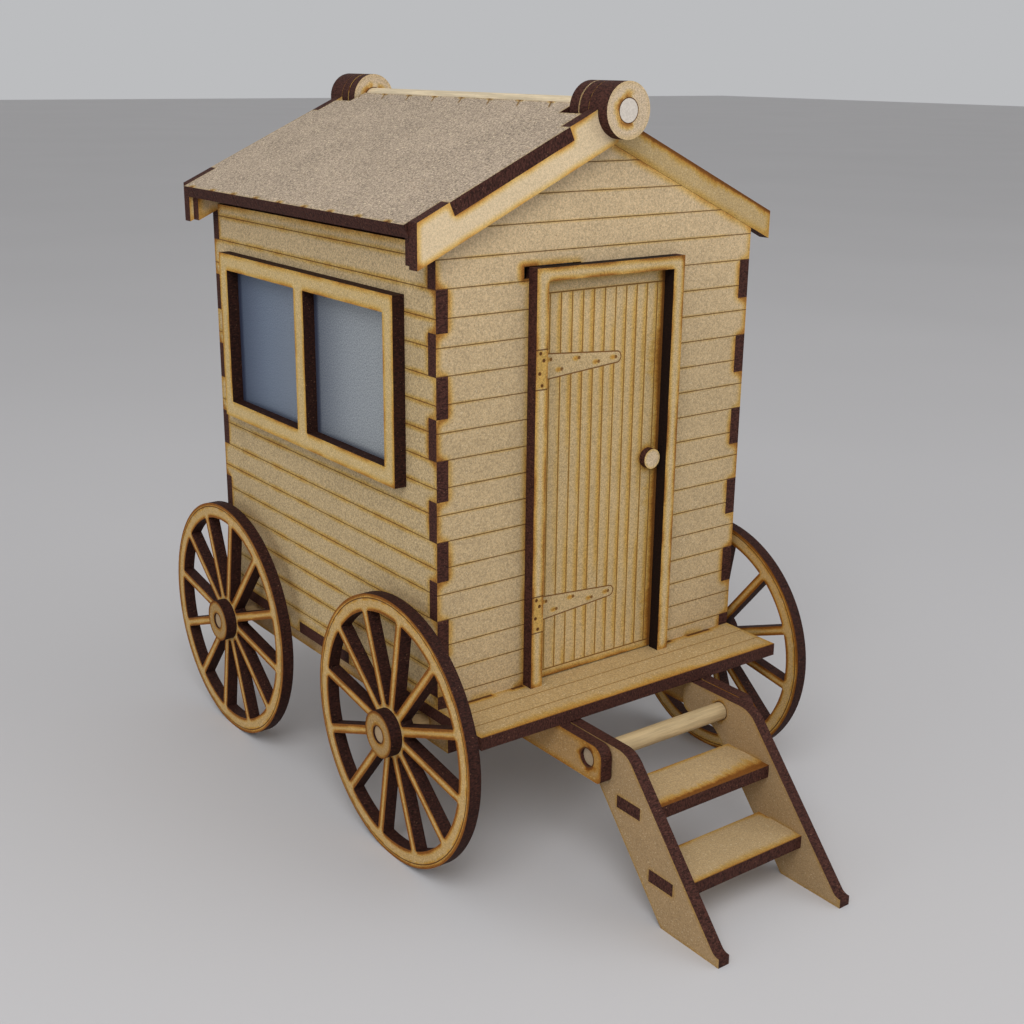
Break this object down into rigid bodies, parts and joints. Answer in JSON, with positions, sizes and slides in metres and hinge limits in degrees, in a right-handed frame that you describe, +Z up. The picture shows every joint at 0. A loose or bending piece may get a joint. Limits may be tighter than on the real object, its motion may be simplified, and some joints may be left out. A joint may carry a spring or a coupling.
{
  "type": "wheeled beach hut model",
  "caption": "Small laser-cut model of a wheeled beach hut: gabled boarded body with a lifting roof half, door, side windows, spoked wheels and folding steps",
  "frame": {"origin": "on the ground, under the middle of the whole length and width, steps down", "axes": "+X to the right of someone who faces the door, +Y from the steps to the back wall, +Z up"},
  "size_m": [0.1092, 0.1916, 0.174],
  "materials": {
    "fibreboard": "matt fibreboard",
    "birch_dowel": "matt dowel",
    "frosted_pane": "frosted"
  },
  "bodies": {
    "hut": {"front_wall_left": "fibreboard", "front_wall_right": "fibreboard", "front_wall_head": "fibreboard", "back_wall": "fibreboard", "side_wall_left": "fibreboard", "side_wall_right": "fibreboard", "floor_plate": "fibreboard", "roof_panel_left": "fibreboard", "bargeboard_front": "fibreboard", "bargeboard_back": "fibreboard", "finial_disc_front_outer": "fibreboard", "finial_disc_front_inner": "fibreboard", "finial_disc_back_inner": "fibreboard", "finial_disc_back_outer": "fibreboard", "window_frame_left": "fibreboard", "window_frame_right": "fibreboard", "door_frame": "fibreboard", "rail_left": "fibreboard", "rail_right": "fibreboard", "bearer_left": "fibreboard", "bearer_right": "fibreboard", "ridge_dowel": "birch_dowel", "step_dowel": "birch_dowel", "window_pane_left": "frosted_pane", "window_pane_right": "frosted_pane"},
    "lid": {"roof_panel_right": "fibreboard", "lid_arm_front": "fibreboard", "lid_arm_back": "fibreboard"},
    "door": {"door": "fibreboard", "door_knob": "fibreboard"},
    "steps": {"step_stringer_left": "fibreboard", "step_stringer_right": "fibreboard", "step_tread_lower": "fibreboard", "step_tread_upper": "fibreboard"},
    "front_wheelset": {"front_axle": "birch_dowel", "wheel_front_left": "fibreboard", "wheel_front_right": "fibreboard", "hub_front_left": "fibreboard", "hub_front_right": "fibreboard"},
    "rear_wheelset": {"rear_axle": "birch_dowel", "wheel_rear_left": "fibreboard", "wheel_rear_right": "fibreboard", "hub_rear_left": "fibreboard", "hub_rear_right": "fibreboard"}
  },
  "joints": [
    {"name": "roof_lid", "type": "hinge", "parent": "hut", "child": "lid", "pos_m": [0, 0.02219, 0.168], "axis": [0, -1, 0], "range_deg": [0, 185]},
    {"name": "door_swing", "type": "hinge", "parent": "hut", "child": "door", "pos_m": [-0.0192, -0.02776, 0.087], "axis": [0, 0, 1], "range_deg": [0, 100]},
    {"name": "steps_fold", "type": "hinge", "parent": "hut", "child": "steps", "pos_m": [0, -0.05596, 0.0324], "axis": [-1, 0, 0], "range_deg": [0, 135]},
    {"name": "front_wheels_turn", "type": "hinge", "parent": "hut", "child": "front_wheelset", "pos_m": [0, -0.01946, 0.032], "axis": [1, 0, 0], "continuous": true},
    {"name": "rear_wheels_turn", "type": "hinge", "parent": "hut", "child": "rear_wheelset", "pos_m": [0, 0.06384, 0.032], "axis": [1, 0, 0], "continuous": true}
  ]
}
